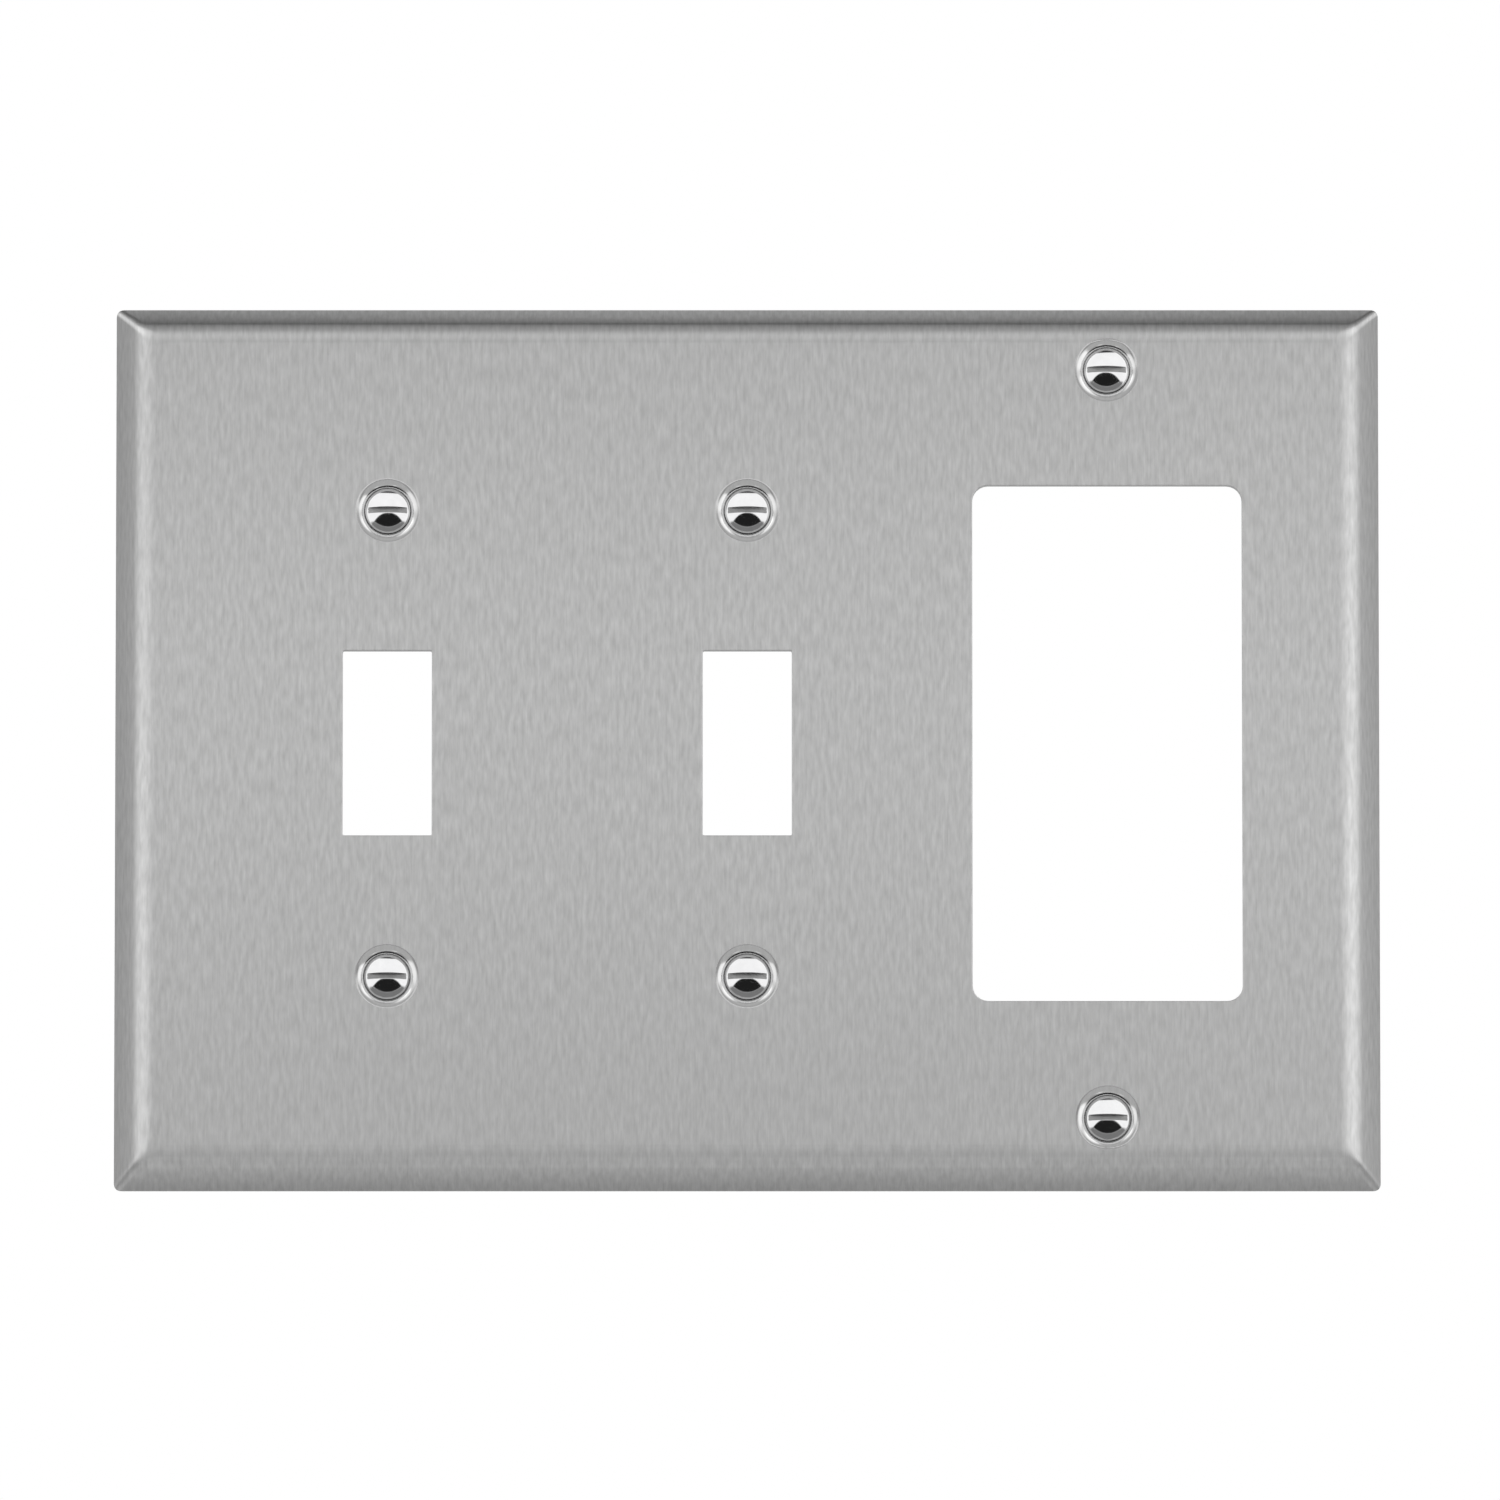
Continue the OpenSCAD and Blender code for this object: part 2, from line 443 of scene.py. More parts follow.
def plate_openings(shape):
    """Rolled-over front edge, sheared wall and small back corner of each opening.

    Gives the lines, with their points, in which they meet the front and the back.
    """
    on_front, on_back = [], []
    quarter = 4                   # parts of the rounded front edge
    for cx, size in OPENINGS:
        def row(out, depth):
            loop = opening_loop(cx, size, out)
            ids = [shape.point(x, depth - PLATE_D, z) for (x, z), d in loop]
            return [p for p, d in loop], ids, [d for p, d in loop]

        rows, normals = [], []
        for i in range(quarter + 1):
            a = math.radians(90 / quarter * i)
            line, ids, ways = row(ROLL * (1 - math.sin(a)), ROLL * (1 - math.cos(a)))
            rows.append(ids)
            normals.append([Vector((-dx * math.sin(a), -math.cos(a), -dz * math.sin(a)))
                            for dx, dz in ways])
            if i == 0:
                on_front.append((line, ids))
        straight = normals[-1]
        for depth in (SHEET * SHEARED, SHEET - BURR):
            rows.append(row(0.0, depth)[1])
            normals.append(straight)
        line, ids, ways = row(BURR, SHEET)
        rows.append(ids)
        on_back.append((line, ids))
        for k in range(len(rows) - 2):
            rolled = k < quarter - 1
            shape.strip(rows[k], rows[k + 1], normals[k], normals[k + 1],
                        BRUSHED if rolled else CUT, FRONT.unfold if rolled else edge_map)
        corner_n = [(v + TO_WALL * 0.8).normalized() for v in straight]
        shape.strip(rows[-2], rows[-1], corner_n, corner_n, CUT, edge_map)
    return on_front, on_back


def plate_dimples(shape):
    """Cone, hole, coined end and the cone behind of each dimple.

    Gives the lines, with their points, in which they meet the front and the back.
    """
    on_front, on_back = [], []
    turn = spokes(DIMPLE_ROUND)
    sin_sink, cos_sink = math.sin(SINK), math.cos(SINK)
    cone_n = [Vector((-t.x * cos_sink, -sin_sink, -t.z * cos_sink)) for t in turn]
    in_n = [-t for t in turn]
    mid_n = [(a + b).normalized() for a, b in zip(cone_n, in_n)]
    chamfer_n = [(v + TO_WALL * 0.9).normalized() for v in in_n]
    wall_n = [TO_WALL] * DIMPLE_ROUND
    back_n = [Vector((t.x * cos_sink, sin_sink, t.z * cos_sink)) for t in turn]
    front_radii = [DIMPLE_FRONT_R, 3.17, LIP_OUT - LIP_R * cos_sink, 2.85, 2.6, 2.35, CONE_END_R]
    back_radii = [SHOULDER_R, 3.05, 3.35, LIP_OUT - BACK_LIP_R * cos_sink, DIMPLE_BACK_R]
    for cx, cz in PLACES.values():
        def at(r, depth):
            return [shape.point(cx + t.x * r, depth - PLATE_D, cz + t.z * r) for t in turn]

        loops = [circle(cx, cz, r) for r in front_radii]
        rows = [ring(shape, loop, front) for loop in loops]
        on_front.append((loops[0], rows[0]))
        surface_strips(shape, loops, rows, FRONT, FORMED)

        cone_end = front(cx + CONE_END_R, cz)
        mid = at(HOLE_MID_R, cone_end + (WALL_TOP - cone_end) * 0.5)
        top = at(HOLE_R, WALL_TOP)
        low = at(HOLE_R, HOLE_END - HOLE_CHAMFER)
        end = at(HOLE_R + HOLE_CHAMFER, HOLE_END)
        brim = at(BRIM_R, HOLE_END)
        shoulder = at(SHOULDER_R, SHEET + dimple_back(SHOULDER_R))
        shape.strip(rows[-1], mid, cone_n, mid_n, FORMED, FRONT.unfold)
        shape.strip(mid, top, mid_n, in_n, FORMED, FRONT.unfold)
        shape.strip(top, low, in_n, in_n, CUT, edge_map)
        shape.strip(low, end, chamfer_n, chamfer_n, CUT, edge_map)
        shape.strip(end, brim, wall_n, wall_n, MILL, BACK.unfold)
        shape.strip(brim, shoulder, wall_n, back_n, MILL, BACK.unfold)

        loops = [circle(cx, cz, r) for r in back_radii]
        rows = [shoulder] + [ring(shape, loop, back) for loop in loops[1:]]
        surface_strips(shape, loops, rows, BACK, MILL)
        on_back.append((loops[-1], rows[-1]))
    return on_front, on_back


def cover_skin(shape, side, joined, hole_r, opening_out):
    """Triangles of the flat face and its surroundings, on one side of the sheet.

    joined are closed lines, with the points made before on them, that bound it. Inside
    hole_r of a screw's axis and opening_out of an opening there is nothing.
    """
    pts, edges, known = [], [], {}

    def add_loop(loop, ids=None, keep=None):
        start = len(pts)
        for i, p in enumerate(loop):
            if ids:
                known[len(pts)] = ids[i]
            pts.append(Vector(p))
        n, parts = len(loop), 8
        for i in range(n):
            (ax, az), (bx, bz) = loop[i], loop[(i + 1) % n]
            if not keep or all(keep(ax + (bx - ax) * k / parts, az + (bz - az) * k / parts)
                               for k in range(parts + 1)):
                edges.append((start + i, start + (i + 1) % n))

    def from_dimple(x, z):
        cx, cz = nearest_place(x, z)
        return math.hypot(x - cx, z - cz)

    for line, ids in joined:
        add_loop(line, ids)
    for m in SKIN_RINGS:
        add_loop(outline(m), keep=lambda x, z: from_dimple(x, z) > hole_r + 0.12)
    for cx, cz in PLACES.values():
        for r in SKIN_CIRCLES:
            if r > hole_r + 0.05 and over(cx, abs(cz) + r) < SKIN_END - 0.02:
                add_loop(circle(cx, cz, r))
    for cx, size in OPENINGS:
        for out in SKIN_FRAMES:
            add_loop([p for p, d in opening_loop(cx, size, out)])
    for i in range(-SKIN_COLUMNS, SKIN_COLUMNS + 1):
        for j in range(-SKIN_ROWS, SKIN_ROWS + 1):
            x, z = (i + 0.5 * (j % 2)) * SKIN_STEP, j * SKIN_STEP * SKIN_ROW
            if (over(x, z) <= -OFF_EDGE and not in_opening(x, z, OFF_OPENING)
                    and from_dimple(x, z) >= OFF_DIMPLE):
                pts.append(Vector((x, z)))
    out, _, tris, origin, _, _ = delaunay_2d_cdt(pts, edges, [], 0, CDT_GAP)
    ids = {}

    def corner(i):
        if i not in ids:
            ids[i] = next((known[k] for k in origin[i] if k in known), None)
            if ids[i] is None:
                x, z = out[i]
                ids[i] = shape.point(x, side.depth(x, z) - PLATE_D, z)
        return ids[i]

    limit = over(*joined[0][0][0]) - 1e-6
    inside = hole_r * math.cos(math.pi / DIMPLE_ROUND) - 1e-5
    for tri in tris:
        cx = sum(out[i].x for i in tri) / 3
        cz = sum(out[i].y for i in tri) / 3
        if over(cx, cz) > limit or from_dimple(cx, cz) < inside or in_opening(cx, cz, opening_out):
            continue
        formed = side is FRONT and from_dimple(cx, cz) < LIP_OUT
        shape.face([corner(i) for i in tri],
                   [slope_normal(side.depth, out[i].x, out[i].y, (cx, cz), side.out) for i in tri],
                   FORMED if formed else side.slot, side.unfold)


def make_plate(materials):
    shape = Shape()
    (front_start, front_end), (back_start, back_end) = plate_bends(shape)
    plate_foot(shape, front_end[1], back_end[1])
    openings, dimples = plate_openings(shape), plate_dimples(shape)
    cover_skin(shape, FRONT, [front_start] + openings[0] + dimples[0], DIMPLE_FRONT_R, ROLL)
    cover_skin(shape, BACK, [back_start] + openings[1] + dimples[1], DIMPLE_BACK_R, BURR)
    return shape.build("stamped_cover", materials)


# ---------------------------------------------------------------------- screws
def dome(r2):
    """Depth of the head's dome where the squared distance from the axis is r2."""
    return DOME_BASE - (math.sqrt(max(0.0, DOME_R ** 2 - r2)) - (DOME_R - DOME_H))


def head_top(x, z):
    """Depth of the head's top: the dome, and in it the slot with rounded upper edges."""
    surface = dome(x * x + z * z)
    room = max(0.0, SLOT_FLOOR - surface)
    inside = SLOT_HALF + SLOT_ROUND - abs(z)
    if inside <= 0:
        return surface
    if inside < SLOT_ROUND:
        drop = SLOT_ROUND - math.sqrt(SLOT_ROUND ** 2 - inside ** 2)
    else:
        drop = SLOT_ROUND + (inside - SLOT_ROUND) * SLOT_WALL
    return surface + min(drop, room)


def thread_radius(turn, s):
    """Radius of the thread at that part of a turn (clockwise from the top) and that depth."""
    phase = (s / THREAD_P - turn) % 1.0
    flank = (1 - CREST_PART - ROOT_PART) / 2
    if phase < flank:
        level = phase / flank
    elif phase < flank + CREST_PART:
        level = 1.0
    elif phase < 2 * flank + CREST_PART:
        level = 1 - (phase - flank - CREST_PART) / flank
    else:
        level = 0.0
    begin = min(1.0, max(0.0, (s - THREAD_TOP + THREAD_LEAD) / THREAD_FADE))
    r = NECK + (ROOT + (CREST - ROOT) * level - NECK) * begin
    return min(r, CREST - TIP_CHAMFER + max(0.0, TIP - s))


def thread_normal(turns, s, middle):
    """Normal of the thread, read a little inside the face whose middle is given."""
    inset, e = 0.03, 1e-4
    t = turns + (middle[0] - turns) * inset
    d = s + (middle[1] - s) * inset
    r = thread_radius(t, d)
    dt = (thread_radius(t + e, d) - thread_radius(t - e, d)) / (2 * e) / (2 * math.pi * r)
    ds = (thread_radius(t, d + e) - thread_radius(t, d - e)) / (2 * e)
    a = 2 * math.pi * turns
    outward = Vector((math.sin(a), 0, math.cos(a)))
    onward = Vector((math.cos(a), 0, -math.sin(a)))
    return outward - onward * dt - Vector((0, ds, 0))


def screw_top(shape, put, edge, edge_ids):
    """The head's top inside its edge: triangles between lines along the slot."""
    n = len(edge)
    pts, edges = [Vector(p) for p in edge], [(i, (i + 1) % n) for i in range(n)]

    def add_line(points):
        start = len(pts)
        pts.extend(Vector(p) for p in points)
        edges.extend((start + i, start + i + 1) for i in range(len(points) - 1))

    slot_edge = SLOT_HALF + SLOT_ROUND
    bands = [slot_edge + 0.02, slot_edge]
    bands += [SLOT_HALF + SLOT_ROUND * (1 - math.sin(math.radians(a)))
              for a in (25, 45, 62, 77, 90)]
    bands += [SLOT_HALF - 0.012, 0.2, 0.0]
    parts, half = 44, 2.56
    for band in bands:
        for z in {band, -band}:
            add_line([(-half + 2 * half * i / parts, z) for i in range(parts + 1)])
    slot_end = math.sqrt(DOME_R ** 2 - (DOME_R - DOME_H + DOME_BASE - SLOT_FLOOR) ** 2)
    for sx in (1, -1):
        zs = [slot_edge * (i / 6 - 1) for i in range(13)]
        add_line([(sx * math.sqrt(slot_end ** 2 - z * z), z) for z in zs])
    for r in [0.75 + 0.17 * i for i in range(12)]:
        count = 2 * round(r * 14)
        for i in range(count):
            a = 2 * math.pi * (i + 0.5) / count
            x, z = r * math.sin(a), r * math.cos(a)
            if abs(z) > slot_edge + 0.12:
                pts.append(Vector((x, z)))
    out, _, tris, origin, _, _ = delaunay_2d_cdt(pts, edges, [], 0, CDT_GAP)
    ids = []
    for p, o in zip(out, origin):
        mine = next((edge_ids[i] for i in o if i < n), None)
        ids.append(put(p.x, head_top(p.x, p.y), p.y) if mine is None else mine)
    # The slot's faces take the second material, whose darker colour is partly painted shade
    plated, sawn = 0, 1
    for tri in tris:
        middle = (sum(out[i].x for i in tri) / 3, sum(out[i].y for i in tri) / 3)
        sunk = abs(middle[1]) < SLOT_HALF and abs(middle[0]) < slot_end - 0.02
        shape.face([ids[i] for i in tri],
                   [slope_normal(head_top, out[i].x, out[i].y, middle, -1) for i in tri],
                   sawn if sunk else plated)


def screw_side(shape, at, edge_ids, turn):
    """The rim, the cone under the head and the neck. Gives the neck's last row of points."""
    cone_n = [t * math.cos(SINK) + TO_WALL * math.sin(SINK) for t in turn]

    def dome_n(r):
        fall = -math.sqrt(1 - (r / DOME_R) ** 2)
        return [Vector((t.x * r / DOME_R, fall, t.z * r / DOME_R)) for t in turn]

    def between(a, b, share):
        return [(p * (1 - share) + q * share).normalized() for p, q in zip(a, b)]

    def under(r):
        """Depth of the cone under the head."""
        return RIM + (HEAD_R - r) / math.tan(SINK)

    near, soft = 2.86, 2.885
    rows = [
        (near, dome(near ** 2), dome_n(near)),
        (soft, dome(soft ** 2) + 0.004, between(dome_n(near), turn, 0.5)),
        (HEAD_R, DOME_BASE + 0.03, turn),
        (HEAD_R, RIM - 0.03, turn),
        (soft, RIM + 0.006, between(turn, cone_n, 0.5)),
        (near, under(near), cone_n),
        (2.2, under(2.2), cone_n),
        (1.62, under(1.62), cone_n),
        (1.53, under(1.53) + 0.012, between(cone_n, turn, 0.6)),
        (NECK, under(NECK) + 0.08, turn),
        (NECK, THREAD_TOP - 0.75, turn),
    ]
    before, before_n = edge_ids, dome_n(TOP_R)
    for r, s, normals in rows:
        now = at(r, s)
        shape.strip(before, now, before_n, normals)
        before, before_n = now, normals
    return before


def screw_thread(shape, put, neck, turn):
    """The thread as a grid of points that follow it, and the flat tip."""
    few = len(neck) // STEPS
    start = THREAD_TOP - 0.45
    count = math.ceil((TIP - start) / (THREAD_P / STEPS))
    depths = [start + i * THREAD_P / STEPS for i in range(count)] + [TIP]

    def row(s, radius):
        turns = [2 * math.pi * i / STEPS for i in range(STEPS)]
        radii = [radius or thread_radius(i / STEPS, s) for i in range(STEPS)]
        return [put(r * math.sin(a), s, r * math.cos(a)) for r, a in zip(radii, turns)]

    grid = [row(s, None) for s in depths]

    # The neck's last row has more points than the thread's rows
    n = len(neck)
    for i in range(STEPS):
        j = (i + 1) % STEPS
        mid = (i * few + few // 2) % n
        for k in range(few):
            a, b = i * few + k, (i * few + k + 1) % n
            to = i if k < few // 2 else j
            shape.face([neck[a], neck[b], grid[0][to]], [turn[a], turn[b], turn[to * few]])
        shape.face([neck[mid], grid[0][i], grid[0][j]], [turn[mid], turn[i * few], turn[j * few]])

    for k in range(len(depths) - 1):
        for i in range(STEPS):
            j = (i + 1) % STEPS
            a, b = (grid[k][i], i / STEPS, depths[k]), (grid[k][j], (i + 1) / STEPS, depths[k])
            c = (grid[k + 1][j], (i + 1) / STEPS, depths[k + 1])
            d = (grid[k + 1][i], i / STEPS, depths[k + 1])
            for tri in ((a, b, c), (a, c, d)):
                middle = (sum(v[1] for v in tri) / 3, sum(v[2] for v in tri) / 3)
                shape.face([v[0] for v in tri], [thread_normal(v[1], v[2], middle) for v in tri])

    inner = row(TIP, TIP_INNER_R)
    shape.strip(grid[-1], inner, [TO_WALL] * STEPS, [TO_WALL] * STEPS)
    centre = put(0.0, TIP, 0.0)
    for i in range(STEPS):
        shape.face([inner[i], inner[(i + 1) % STEPS], centre], [TO_WALL] * 3)


def make_screw(name, place, materials):
    shape = Shape()
    cx, cz = place
    turn = spokes(HEAD_ROUND)

    def put(x, s, z):
        return shape.point(cx + x, s - PLATE_D, cz + z)

    def at(r, s):
        return [put(t.x * r, s, t.z * r) for t in turn]

    edge = [(t.x * TOP_R, t.z * TOP_R) for t in turn]
    edge_ids = [put(x, head_top(x, z), z) for x, z in edge]
    screw_top(shape, put, edge, edge_ids)
    screw_thread(shape, put, screw_side(shape, at, edge_ids, turn), turn)
    return shape.build(name, materials)


# ------------------------------------------------------------------- materials
class Nodes:
    """Short calls for a material's nodes."""

    def __init__(self, name):
        self.material = bpy.data.materials.new(name)
        self.material.use_nodes = True
        self.tree = self.material.node_tree
        self.shader = next(n for n in self.tree.nodes if n.type == "BSDF_PRINCIPLED")

    def put(self, socket, value):
        if isinstance(value, bpy.types.NodeSocket):
            self.tree.links.new(value, socket)
        elif value is not None:
            socket.default_value = value

    def node(self, kind, **values):
        n = self.tree.nodes.new(kind)
        for key, value in values.items():
            setattr(n, key, value)
        return n

    def noise(self, source, scale, detail=2.0, rough=0.5, distortion=0.0):
        mapping = self.node("ShaderNodeMapping")
        self.put(mapping.inputs["Vector"], source)
        mapping.inputs["Scale"].default_value = scale
        n = self.node("ShaderNodeTexNoise")
        self.put(n.inputs["Vector"], mapping.outputs["Vector"])
        n.inputs["Scale"].default_value = 1.0
        n.inputs["Detail"].default_value = detail
        n.inputs["Roughness"].default_value = rough
        n.inputs["Distortion"].default_value = distortion
        return n.outputs["Fac"]

    def math(self, kind, a, b):
        n = self.node("ShaderNodeMath", operation=kind)
        self.put(n.inputs[0], a)
        self.put(n.inputs[1], b)
        return n.outputs[0]

    def add(self, a, b):
        return self.math("ADD", a, b)

    def mix(self, a, b, share):
        """Sum of a and b, of which a has that share."""
        return self.add(self.math("MULTIPLY", a, share), self.math("MULTIPLY", b, 1 - share))

    def span(self, value, lo, hi, to_lo, to_hi):
        n = self.node("ShaderNodeMapRange", clamp=True)
        for key, v in (("Value", value), ("From Min", lo), ("From Max", hi),
                       ("To Min", to_lo), ("To Max", to_hi)):
            self.put(n.inputs[key], v)
        return n.outputs["Result"]

    def spread(self, value, to_lo, to_hi):
        """span() over the part of a noise's range that it mostly stays in."""
        return self.span(value, 0.3, 0.7, to_lo, to_hi)

    def colour(self, level, colour):
        """Base colour: a colour times a level."""
        n = self.node("ShaderNodeVectorMath", operation="SCALE")
        n.inputs[0].default_value = colour
        self.put(n.inputs["Scale"], level)
        self.put(self.shader.inputs["Base Color"], n.outputs["Vector"])

    def metal(self, level, colour, rough, relief, distance, strength):
        """Set up a metal and give the material. Its relief is distance metres high."""
        self.colour(level, colour)
        self.put(self.shader.inputs["Roughness"], rough)
        self.shader.inputs["Metallic"].default_value = 1.0
        bump = self.node("ShaderNodeBump")
        bump.inputs["Distance"].default_value = distance
        bump.inputs["Strength"].default_value = strength
        self.put(bump.inputs["Height"], relief)
        self.put(self.shader.inputs["Normal"], bump.outputs["Normal"])
        return self.material

    def uv(self):
        return self.node("ShaderNodeUVMap", uv_map="Unfolded").outputs["UV"]

    def place(self):
        return self.node("ShaderNodeTexCoord").outputs["Object"]


def brushed_front():
    """Satin steel brushed up and down the plate, in the map of the unfolded sheet."""
    k = Nodes("brushed_steel_front")
    uv = k.uv()
    lo, hi = 0.25, 0.75
    dashes = k.noise(uv, (1900, 430, 1))
    hairs = k.noise(uv, (9000, 210, 1), 2.0, 0.55)
    bands = k.noise(uv, (420, 28, 1), 3.0, 0.55)
    cloud = k.noise(uv, (34, 22, 1))
    specks = k.noise(uv, (1500, 620, 1), 0.0)
    grain = k.mix(dashes, hairs, 0.68)
    level = k.add(k.span(grain, lo, hi, 0.83, 1.17), k.span(bands, lo, hi, -0.008, 0.008))
    level = k.add(level, k.span(cloud, lo, hi, -0.006, 0.006))
    level = k.math("SUBTRACT", level, k.math("MULTIPLY", k.span(specks, 0.2, 0.1, 0.0, 1.0), 0.06))
    rough = k.add(k.span(grain, lo, hi, 0.40, 0.34), k.span(bands, lo, hi, -0.005, 0.005))
    k.shader.inputs["Anisotropic"].default_value = 0.75
    tangent = k.node("ShaderNodeTangent", direction_type="UV_MAP", uv_map="Unfolded")
    k.put(k.shader.inputs["Tangent"], tangent.outputs["Tangent"])
    return k.metal(level, (0.560, 0.560, 0.558), rough, hairs, 0.0000018, 0.6)


def mill_back():
    """The side against the wall: plain rolled sheet, smoother, with a faint rolling grain."""
    k = Nodes("mill_finish_back")
    uv = k.uv()
    pebble = k.noise(uv, (900, 700, 1), 3.0, 0.6)
    rolled = k.noise(uv, (60, 900, 1), 3.0, 0.5)
    stain = k.noise(uv, (26, 30, 1), 3.0, 0.55, 0.6)
    grain = k.mix(pebble, rolled, 0.6)
    level = k.add(k.spread(grain, 0.96, 1.04), k.spread(stain, -0.05, 0.04))
    rough = k.add(k.spread(grain, 0.27, 0.34), k.spread(stain, -0.03, 0.04))
    return k.metal(level, (0.53, 0.53, 0.525), rough, grain, 0.000004, 0.5)


def sheared_edge():
    """Punched and sheared edges: fine lines and torn metal."""
    k = Nodes("sheared_edge")
    uv = k.uv()
    lines = k.noise(uv, (6500, 500, 1), 2.0, 0.6)
    torn = k.noise(uv, (5000, 4000, 1), 3.0, 0.6)
    grain = k.mix(lines, torn, 0.6)
    return k.metal(k.spread(grain, 0.86, 1.1), (0.50, 0.50, 0.50), k.spread(grain, 0.36, 0.5),
                   grain, 0.00001, 0.5)


def formed_dimple():
    """The dimples: drawn over a polished punch, so shinier, with the grain only just left."""
    k = Nodes("formed_dimple")
    uv = k.uv()
    dashes = k.noise(uv, (2300, 560, 1))
    soft = k.noise(uv, (700, 500, 1))
    rough = k.add(k.spread(dashes, 0.16, 0.13), k.spread(soft, -0.015, 0.015))
    return k.metal(k.spread(dashes, 0.96, 1.03), (0.62, 0.62, 0.618), rough,
                   dashes, 0.0000015, 0.5)


def slot_metal_with_painted_shade():
    """Inside a screw's slot: sawn metal under thin plating, dull. Its darker base colour is partly
    the sawn metal's own and partly painted shade of the deep slot.
    """
    k = Nodes("sawn_slot_painted_shade")
    place = k.place()
    sawn = k.noise(place, (700, 9000, 9000), 2.0, 0.6)
    soft = k.noise(place, (1400, 1400, 1400))
    # Base colour 0.40, well under the plating's: partly painted shade of the slot's recess
    return k.metal(k.spread(soft, 0.9, 1.1), (0.40, 0.40, 0.40), k.spread(sawn, 0.42, 0.55),
                   sawn, 0.000004, 0.5)


def bright_screw():
    """Bright nickel plating, a little uneven, with fine handling marks."""
    k = Nodes("bright_nickel")
    place = k.place()
    mottle = k.noise(place, (900, 900, 900), 3.0, 0.55)
    fine = k.noise(place, (5200, 5200, 5200))
    rough = k.add(k.spread(mottle, 0.06, 0.1), k.spread(fine, 0.0, 0.02))
    return k.metal(k.spread(mottle, 0.96, 1.02), (0.86, 0.86, 0.865), rough,
                   fine, 0.0000008, 0.4)


def pale_floor():
    k = Nodes("pale_floor")
    soft = k.noise(k.place(), (3, 3, 3), 4.0)
    k.colour(k.spread(soft, 0.98, 1.0), (0.86, 0.86, 0.86))
    k.put(k.shader.inputs["Roughness"], k.spread(soft, 0.6, 0.7))
    return k.material


# ---------------------------------------------------------------------- pieces
plate = make_plate([brushed_front(), mill_back(), sheared_edge(), formed_dimple()])
# The second is the slot's metal, whose darker colour is partly painted shade
screw_metals = [bright_screw(), slot_metal_with_painted_shade()]
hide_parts("cover_plate")
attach(plate, "plate")
screws = []
for key, place in PLACES.items():
    screw = make_screw("machine_screw_" + key, place, screw_metals)
    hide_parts("screw_" + key)
    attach(screw, key + "_screw")
    screws.append(screw)


# ------------------------------------------------------------ what they reflect
TILT = math.radians(-9)           # the camera looks up this much
TO_CAMERA = Vector((0, -math.cos(TILT), math.sin(TILT)))

# Brightness round the plate by the angle in degrees, up over the top from straight in front
PITCH_LEVELS = [
    (-180, .42), (-125, .32), (-117, .38), (-106, .70), (-95, .68), (-75, .65), (-50, .66),
    (-25, .64), (-12, .48), (-4, .30), (2, .34), (6, .68), (9, 1.18), (12, .98), (16, .56),
    (22, .52), (30, .60), (45, .64), (60, .55), (75, .46), (90, .39), (100, .32), (102, .12),
    (119, .12), (121, .52), (150, .52), (180, .42)]
# The same to both sides, along the horizon
SIDE_LEVELS = [
    (0, .70), (24, .70), (33, 1.22), (44, 1.42), (76, 1.38), (87, 1.1), (93, .50), (108, .50),
    (122, .38), (142, .40), (150, .62), (163, .84), (180, .90)]
LEFT_PART, RIGHT_PART = 0.93, 1.05   # the sides are not equally bright

# The dark shape under a screw's slot, in millimetres on the head
LENS_HALF, LENS_TOP, LENS_BOTTOM = 1.8, -0.37, -2.12
LENS_TOP_FALL, LENS_BOTTOM_RISE = 0.98, 0.76


def window(x, start, full, ebb, end):
    """0 outside start to end, 1 between full and ebb, straight between them."""
    return step(x, start, full) * step(x, end, ebb)


def moved(level, target, share):
    return level + (target - level) * share


def on_head(d):
    """Where a screw's dome reflects the direction d: millimetres right and up on the head."""
    half = (TO_CAMERA + d).normalized()
    return half.x * DOME_R, half.z * DOME_R


def lens_bottom(x):
    return LENS_BOTTOM + LENS_BOTTOM_RISE * (x / LENS_HALF) ** 2


def lens(x, z):
    """1 inside the dark shape under a screw's slot, 0 outside."""
    t = abs(x) / LENS_HALF
    if t >= 1.1:
        return 0.0
    top = LENS_TOP - LENS_TOP_FALL * t ** 2.4
    return step(top - z, -0.03, 0.03) * step(z - lens_bottom(x), -0.03, 0.03)


def plate_light(d):
    """Brightness of the tent round the plate, as the plate sees it."""
    azimuth = abs(math.degrees(math.atan2(d.x, -d.y)))
    height = abs(math.degrees(math.asin(d.z)))
    pitch = math.degrees(math.atan2(d.z, -d.y))
    sides = along(SIDE_LEVELS, azimuth) * (RIGHT_PART if d.x > 0 else LEFT_PART)
    if d.z > 0 and azimuth < 100:
        # Seen in the dimples: a dim band above the horizon and a brighter one over it
        sides *= 1 - 0.28 * window(height, 11, 17, 22, 27)
        boost = 0.4 if d.x < 0 else 0.15
        sides *= 1 + boost * step(height, 24, 30) * step(azimuth, 48, 60)
    # Behind and high, then the lower corners' folds, then what the back of the sheet sees
    sides = moved(sides, 0.42, step(azimuth, 138, 150) * step(d.z, 0.25, 0.5))
    sides = moved(sides, 0.46, step(-d.z, 0.36, 0.52) * window(azimuth, 36, 44, 118, 128))
    sides = moved(sides, 0.78, step(azimuth, 116, 128) * window(-d.z, 0.12, 0.22, 0.44, 0.52))
    level = along(PITCH_LEVELS, pitch)
    level = moved(level, sides, step(azimuth, 23, 31) * step(height, 58, 50))
    if d.z > 0:
        # The bright streak and the dark line on the upper corners' folds
        fold = window(azimuth, 98, 104, 136, 142) * window(height, 24, 28, 45, 49)
        crease = window(azimuth, 136, 140, 159, 165) * window(height, 42, 46, 61, 65)
        level = moved(moved(level, 1.3, fold), 0.1, crease)
    level *= 1 + 0.22 * d.z * step(azimuth, 138, 158)
    if d.y < 0.2:
        level = moved(level, 0.6, lens(*on_head(d)))
    return level


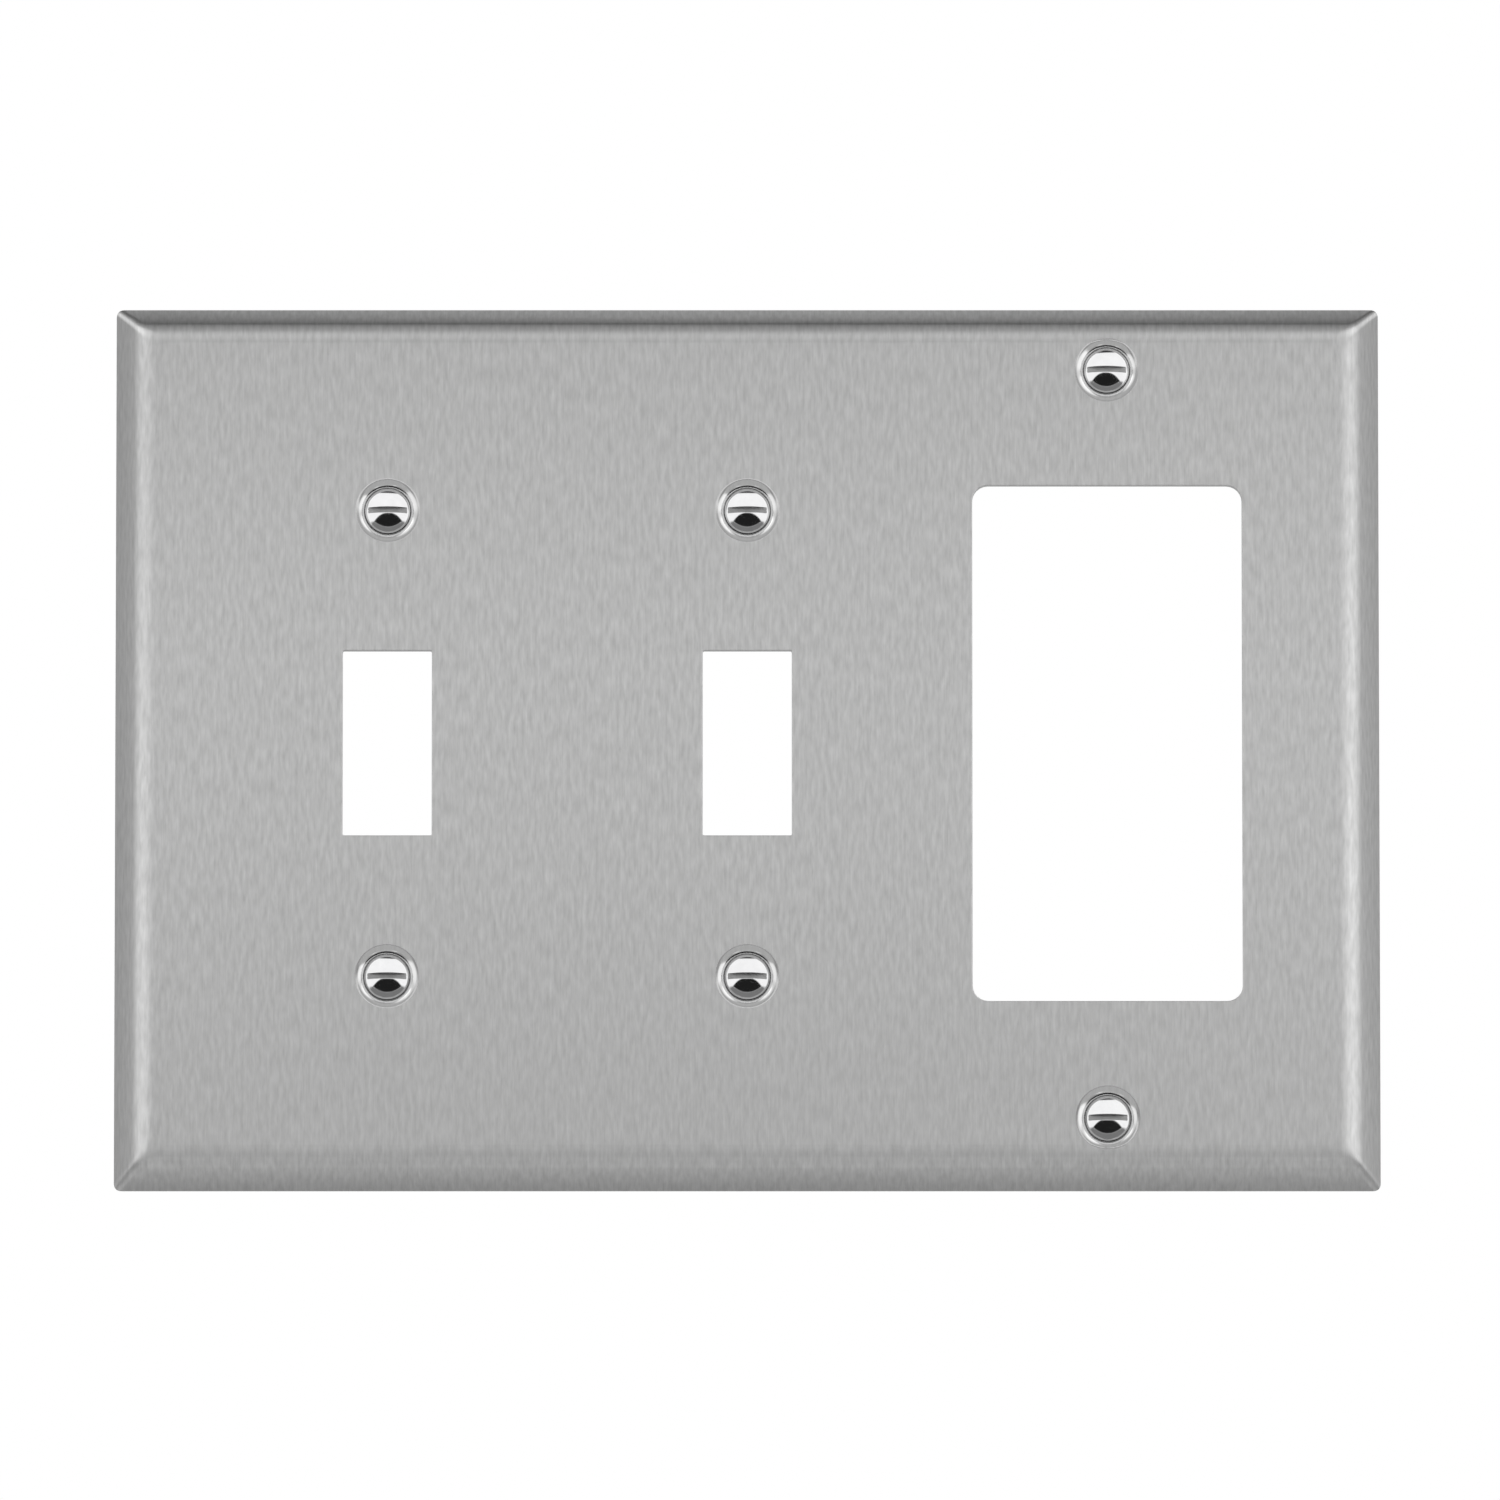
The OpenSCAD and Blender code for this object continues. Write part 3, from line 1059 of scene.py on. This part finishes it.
def screw_light(d):
    """Brightness of the tent as the screws see it: white, with a dark opening low in front."""
    x, z = on_head(d)
    r = math.hypot(x, z)
    turn = abs(math.degrees(math.atan2(x, -z)))     # from straight down
    low = step(-z, 1.25, 1.45) * step(turn, 62, 52)
    beyond = step(r, 2.1, 2.3) if turn > 45 else step(lens_bottom(x) - z, -0.05, 0.05)
    level = moved(1.05, 0.2, low * beyond)                                   # lower rim
    level = moved(level, 0.5, step(r, 2.7, 2.8) * (1 - low))                 # edge of the head
    level = moved(level, 0.03, step(z, 2.20, 2.30) * step(abs(x), 1.9, 1.5))   # upper rim
    level = moved(level, 0.015, lens(x, z))
    behind = 0.4 + 0.55 * step(d.z, -0.6, 0.7)
    return moved(level, behind, step(-d.dot(TO_CAMERA), 0.1, 0.35))


def tent(name, light, radius, receivers, clear):
    """A glowing ball round the object that lights only receivers, and that only reflections see.

    A clear one lets other reflections through to what is outside it.
    """
    rings, spots = 120, 240
    pts, faces, levels = [], [], []
    for i in range(rings + 1):
        a = math.radians(-89.5 + 179 * i / rings)
        for j in range(spots):
            b = 2 * math.pi * j / spots
            d = Vector((math.sin(a), -math.cos(a) * math.cos(b), math.cos(a) * math.sin(b)))
            pts.append(d * radius)
            levels.append(light(d))
    for i in range(rings):
        for j in range(spots):
            k, m = i * spots + j, i * spots + (j + 1) % spots
            faces.append((k, m, m + spots, k + spots))
    mesh = bpy.data.meshes.new(name)
    mesh.from_pydata(pts, [], faces)
    mesh.attributes.new("level", "FLOAT", "POINT").data.foreach_set("value", levels)
    material = bpy.data.materials.new(name)
    material.use_nodes = True
    material.cycles.emission_sampling = "NONE"
    tree = material.node_tree
    tree.nodes.clear()
    level = tree.nodes.new("ShaderNodeAttribute")
    level.attribute_name = "level"
    glow = tree.nodes.new("ShaderNodeEmission")
    tree.links.new(level.outputs["Fac"], glow.inputs["Strength"])
    surface = glow.outputs[0]
    if clear:
        see_through = tree.nodes.new("ShaderNodeBsdfTransparent")
        both = tree.nodes.new("ShaderNodeAddShader")
        tree.links.new(glow.outputs[0], both.inputs[0])
        tree.links.new(see_through.outputs[0], both.inputs[1])
        surface = both.outputs[0]
    output = tree.nodes.new("ShaderNodeOutputMaterial")
    tree.links.new(surface, output.inputs["Surface"])
    mesh.materials.append(material)
    ob = bpy.data.objects.new(name, mesh)
    bpy.context.scene.collection.objects.link(ob)
    ob.visible_camera = ob.visible_diffuse = ob.visible_shadow = False
    ob.visible_transmission = ob.visible_volume_scatter = False
    group = bpy.data.collections.new(name + "_receivers")
    for piece in receivers:
        group.objects.link(piece)
    ob.light_linking.receiver_collection = group


scene = bpy.context.scene
tent("plate_tent", plate_light, 0.5, [plate], True)
tent("screw_tent", screw_light, 1.3, screws, False)

# ------------------------------------------------------- floor, world and camera
FLOOR_HALF, FLOOR_DROP = 9.0, 2.4
floor_mesh = bpy.data.meshes.new("floor")
floor_mesh.from_pydata([(x * FLOOR_HALF, y * FLOOR_HALF, 0)
                        for x, y in ((-1, -1), (1, -1), (1, 1), (-1, 1))], [], [(0, 1, 2, 3)])
floor_mesh.materials.append(pale_floor())
floor = bpy.data.objects.new("floor", floor_mesh)
floor.location = (0, 0, -FLOOR_DROP)
scene.collection.objects.link(floor)

world = bpy.data.worlds.new("tent")
world.use_nodes = True
background = world.node_tree.nodes["Background"]
background.inputs["Color"].default_value = (1, 1, 1, 1)
background.inputs["Strength"].default_value = 1.0
world.cycles.sampling_method = "NONE"
scene.world = world
scene.view_settings.view_transform = "Standard"
scene.view_settings.look = "None"

# The camera looks up a little, from straight in front and a long way off
AIM = Vector((0.00035, 0.0, -0.00003))
DISTANCE = 3.735
camera_data = bpy.data.cameras.new("camera")
camera_data.lens = 700.0
camera_data.sensor_width = 36.0
camera = bpy.data.objects.new("camera", camera_data)
scene.collection.objects.link(camera)
camera.location = AIM + TO_CAMERA * DISTANCE
camera.rotation_mode = "QUATERNION"
camera.rotation_quaternion = (-TO_CAMERA).to_track_quat("-Z", "Y")
scene.camera = camera
